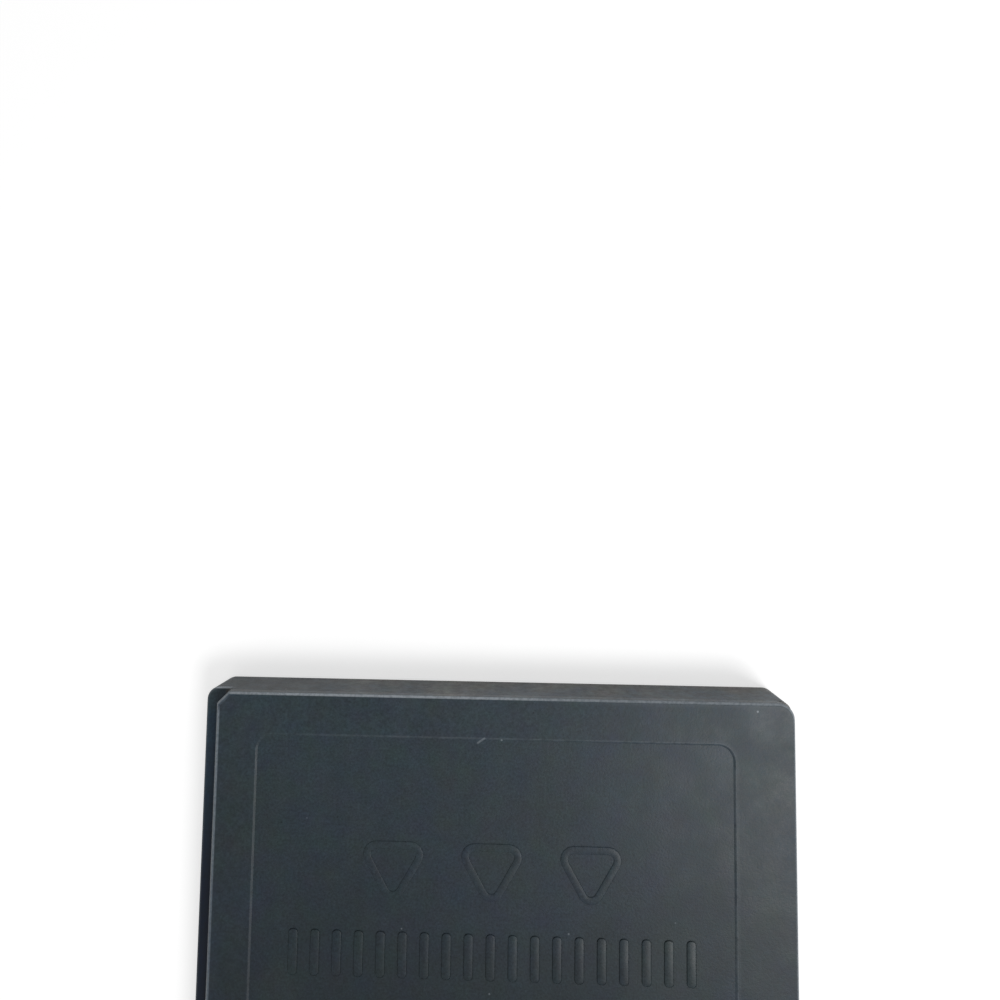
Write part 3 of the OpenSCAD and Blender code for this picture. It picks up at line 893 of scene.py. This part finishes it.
class CARD_OT_marks(bpy.types.Operator):
    """Mould plain insertion arrows and grip ribs onto the panel"""
    bl_idname = "card.marks"
    bl_label = "Moulded Marks"

    def execute(self, context):
        look = context.scene.card_marks
        shell = context.scene.card_shell
        paint = bpy.data.materials["Rear shell plastic"]
        arrows = grow("insertion_arrows", arrow_row_tree(), {
            "Count": look.arrow_count, "Pitch": look.arrow_pitch, "Size": look.arrow_size,
            "Line": look.arrow_line, "Relief": look.relief, "Corner radius": look.arrow_corner,
            "Middle": (0, look.arrow_y, PANEL_Z * MM), "Finish": paint})
        ribs = grow("grip_ribs", pad_row_tree(), {
            "Count": look.rib_count, "Pitch": look.rib_pitch, "Width": look.rib_width,
            "Length": look.rib_length, "Thickness": look.relief, "Corner radius": look.rib_corner,
            "Middle": (0, look.rib_y, PANEL_Z * MM), "Finish": paint})
        for piece in (arrows, ribs):
            round_edges(piece, shell.edge_round, shell.edge_steps)
            finished(piece)
            piece.data.shade_smooth()
            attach(piece, BODY)
        return {"FINISHED"}


class CARD_OT_contacts(bpy.types.Operator):
    """Plate the gold contacts onto the board"""
    bl_idname = "card.contacts"
    bl_label = "Contacts"

    def execute(self, context):
        look = context.scene.card_contacts
        low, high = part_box(CONTACTS[0])
        size = high - low
        middle = (0, (low.y + high.y) / 2, low.z)
        pads = grow("contact_pads", pad_row_tree(), {
            "Count": len(CONTACTS), "Pitch": contact_pitch(), "Width": size.x,
            "Length": size.y, "Thickness": size.z, "Corner radius": look.corner,
            "Middle": middle, "Finish": gold_plating(look)})
        round_edges(pads, look.edge_round, steps=2)
        finished(pads)
        pads.data.shade_smooth()
        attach(pads, BODY)
        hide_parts(*CONTACTS)
        return {"FINISHED"}


class CARD_OT_board(bpy.types.Operator):
    """Finish the circuit board, its memory chips and its small components"""
    bl_idname = "card.board"
    bl_label = "Board and Components"

    def execute(self, context):
        look = context.scene.card_board
        paints = {"circuit_board": solder_mask(look)}
        epoxy = chip_epoxy(look)
        tin = tin_plating(look)
        for chip in ("game_memory", "save_memory"):
            paints[chip] = epoxy
            paints[chip + "_leads"] = tin
        for name in CAPACITORS:
            paints[name] = chip_component("Ceramic of " + name, name, look.capacitor, look,
                                          glaze=0.5)
        for name in RESISTORS:
            paints[name] = chip_component("Glaze of " + name, name, look.resistor, look,
                                          glaze=0.15)
        for name, paint in paints.items():
            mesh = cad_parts[name].data
            mesh.materials.clear()
            mesh.materials.append(paint)
        return {"FINISHED"}


class CARD_OT_studio(bpy.types.Operator):
    """Set the card on a pale floor under soft light, with the camera above its grip end"""
    bl_idname = "card.studio"
    bl_label = "Studio"

    def execute(self, context):
        look = context.scene.card_studio
        self.lay_floor(look)
        self.hang_lights(context.scene, look)
        self.place_camera(context.scene, look)
        context.scene.view_settings.view_transform = "Standard"
        return {"FINISHED"}

    def lay_floor(self, look):
        mesh = bpy.data.meshes.new("floor")
        shape = bmesh.new()
        bmesh.ops.create_grid(shape, x_segments=4, y_segments=4, size=look.floor_size / 2)
        shape.to_mesh(mesh)
        shape.free()
        mesh.materials.append(floor_paint(look))
        add_object("floor", mesh)

    def hang_lights(self, scene, look):
        world = bpy.data.worlds.new("Studio")
        world.use_nodes = True
        world.node_tree.nodes.clear()
        canvas = Link(world.node_tree)
        rays = canvas.make("ShaderNodeLightPath").socket.node.outputs
        seen = Link(canvas.tree, rays["Is Camera Ray"])
        strength = seen * (1 - look.sky) + look.sky
        sky = canvas.make("ShaderNodeBackground", None,
                          {"Color": (1, 1, 1, 1), "Strength": strength})
        canvas.make("ShaderNodeOutputWorld", None, {"Surface": sky})
        scene.world = world
        light = bpy.data.lights.new("Key light", "AREA")
        light.shape = "SQUARE"
        light.size = look.key_size
        light.energy = look.key_power
        lamp = add_object("Key light", light)
        away = Vector(look.key_place)
        turn = away.to_track_quat("Z", "Y").to_matrix().to_4x4()
        lamp.matrix_world = Matrix.Translation(away) @ turn

    def place_camera(self, scene, look):
        camera = bpy.data.cameras.new("Camera")
        camera.sensor_width = 36
        camera.lens = look.camera_lens
        camera.shift_y = look.camera_shift
        camera.clip_start = 1 * MM
        held = add_object("Camera", camera)
        turn = Euler(look.camera_turn, "ZYX").to_matrix().to_4x4()
        held.matrix_world = Matrix.Translation(look.camera_place) @ turn
        scene.camera = held


OPERATORS = (CARD_OT_shells, CARD_OT_marks, CARD_OT_contacts, CARD_OT_board, CARD_OT_studio)


class CARD_PT_looks(bpy.types.Panel):
    """Lists the steps that dress the card"""
    bl_label = "Game Card"
    bl_idname = "CARD_PT_looks"
    bl_space_type = "VIEW_3D"
    bl_region_type = "UI"
    bl_category = "Game Card"

    def draw(self, context):
        for step in OPERATORS:
            self.layout.operator(step.bl_idname)


LOOKS = {"card_shell": ShellLook, "card_marks": MarkLook, "card_contacts": ContactLook,
         "card_board": BoardLook, "card_studio": StudioLook}


def register():
    for name, look in LOOKS.items():
        bpy.utils.register_class(look)
        setattr(bpy.types.Scene, name, PointerProperty(type=look))
    for step in OPERATORS:
        bpy.utils.register_class(step)
    bpy.utils.register_class(CARD_PT_looks)


def unregister():
    bpy.utils.unregister_class(CARD_PT_looks)
    for step in reversed(OPERATORS):
        bpy.utils.unregister_class(step)
    for name, look in reversed(LOOKS.items()):
        delattr(bpy.types.Scene, name)
        bpy.utils.unregister_class(look)


def main():
    register()
    bpy.ops.card.studio()
    bpy.ops.card.shells()
    bpy.ops.card.marks()
    bpy.ops.card.contacts()
    bpy.ops.card.board()


if __name__ == "__main__":
    main()
